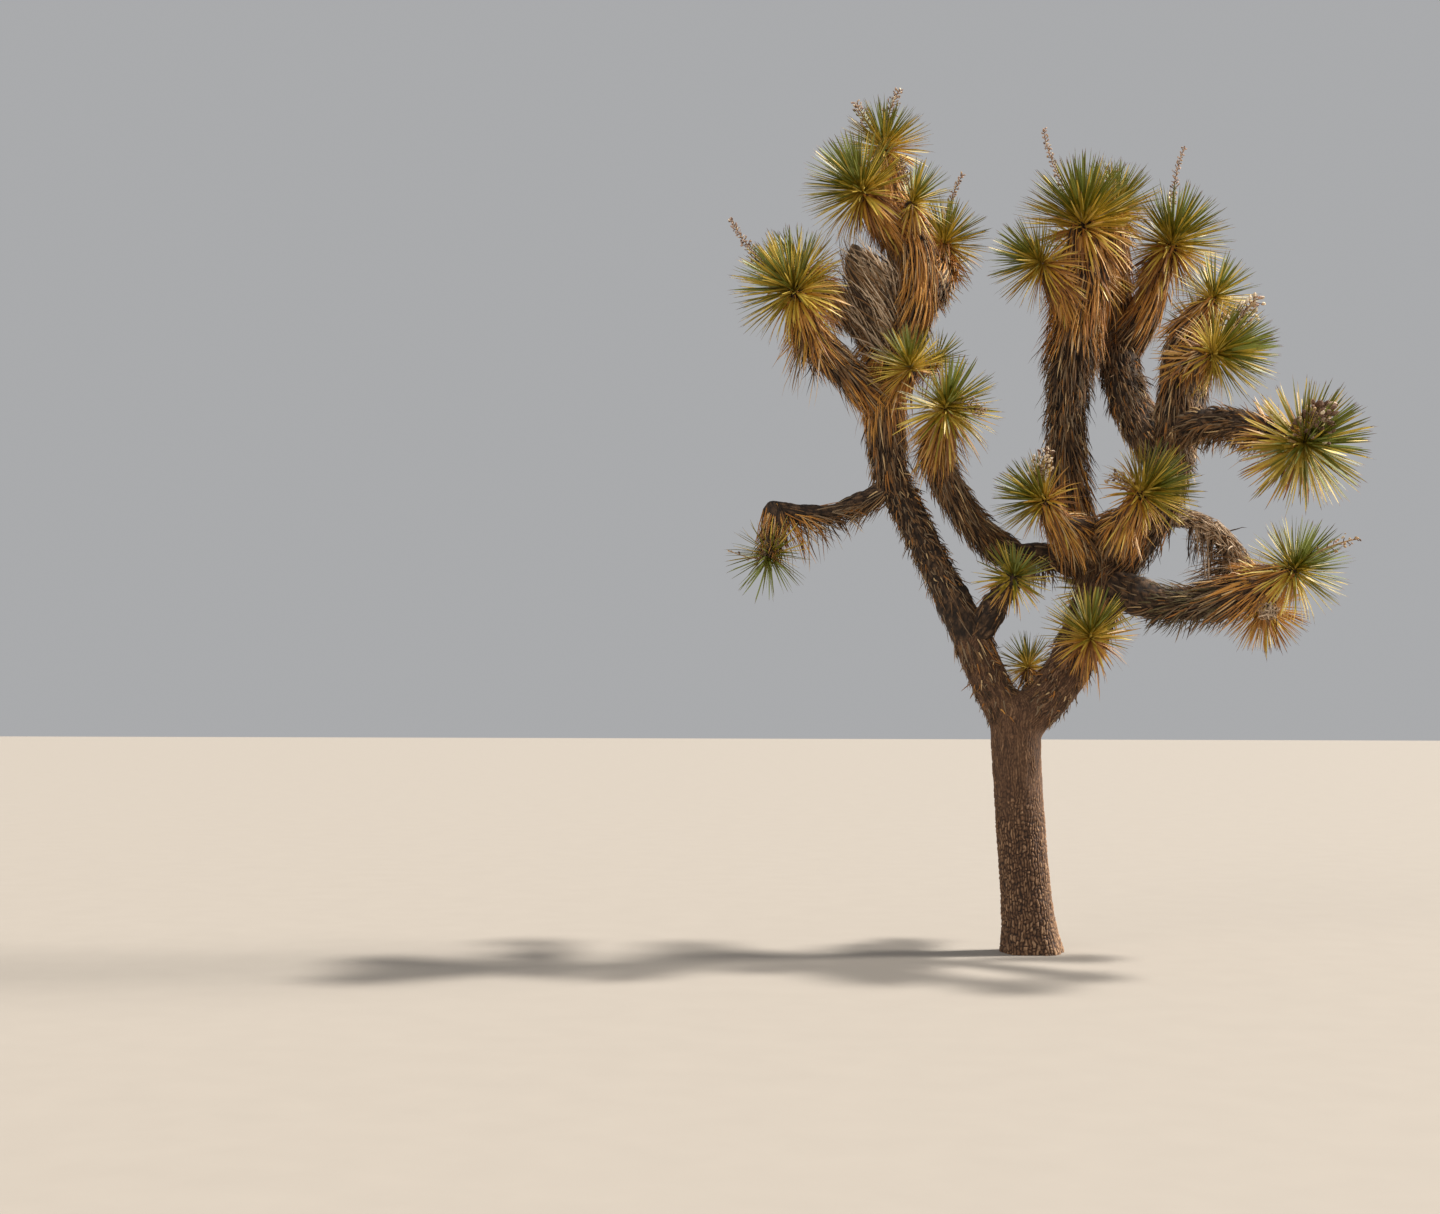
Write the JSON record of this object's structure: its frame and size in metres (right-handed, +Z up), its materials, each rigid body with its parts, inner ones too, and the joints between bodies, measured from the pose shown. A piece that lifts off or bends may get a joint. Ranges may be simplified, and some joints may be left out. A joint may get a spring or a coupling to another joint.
{
  "type": "joshua tree",
  "caption": "Forked desert tree: a bare corky trunk, crooked boughs thatched with dead leaves, and rosettes of dagger leaves with dried flower stalks at the tips.",
  "frame": {"origin": "centre of the flat cut under the trunk, at ground level", "axes": "+Z up, +X to the right and +Y away from the viewer, as the tree stands in the picture"},
  "size_m": [3.2948, 2.3584, 4.833],
  "materials": {
    "bark": "corky grey-brown bark split into small plates",
    "thatch": "rough thatch of dead brown leaves over bark",
    "dead_wood": "weathered grey, fibrous",
    "leaves": "stiff yellow-green dagger leaves, satin",
    "dry_leaves": "dried golden leaves, matte"
  },
  "bodies": {
    "root": {"trunk": "bark", "left_bough": "bark", "right_bough": "bark", "left_stem": "thatch", "left_column": "thatch", "left_low_arm": "thatch", "left_low_tip": "thatch", "left_mid_arm": "thatch", "left_high_arm": "thatch", "dead_stub": "dead_wood", "top_left_stem": "thatch", "top_left_side": "thatch", "inner_stem": "thatch", "inner_arm": "thatch", "inner_riser": "thatch", "centre_stem": "thatch", "right_stem": "thatch", "right_riser": "thatch", "right_top_stem": "thatch", "centre_back_stem": "thatch", "right_column": "thatch", "right_arm": "thatch", "right_low_arm": "thatch", "dead_arch_rise": "dead_wood", "dead_arch_fall": "dead_wood", "front_left_shoot": "thatch", "front_right_shoot": "thatch", "back_left_stem": "thatch", "back_centre_stem": "thatch", "back_right_stem": "thatch", "back_low_arm": "thatch", "rosette_far_left": "leaves", "rosette_far_left_back": "leaves", "rosette_low_left": "leaves", "rosette_inner_left": "leaves", "rosette_column_front": "leaves", "rosette_column_side": "leaves", "rosette_top_left": "leaves", "rosette_top_left_front": "leaves", "rosette_top_left_inner": "leaves", "rosette_top_left_side": "leaves", "rosette_inner": "leaves", "rosette_centre": "leaves", "rosette_centre_left": "leaves", "rosette_centre_back": "leaves", "rosette_right_top": "leaves", "rosette_front_left": "leaves", "rosette_front_right": "leaves", "rosette_right_upper": "leaves", "rosette_right_side": "leaves", "rosette_low_front": "leaves", "rosette_far_right": "leaves", "rosette_low_right": "leaves", "rosette_drooping": "dry_leaves", "rosette_fork": "leaves", "rosette_back_left": "leaves", "rosette_back_centre": "leaves", "rosette_back_right": "leaves", "rosette_back_low": "leaves"}
  },
  "joints": []
}
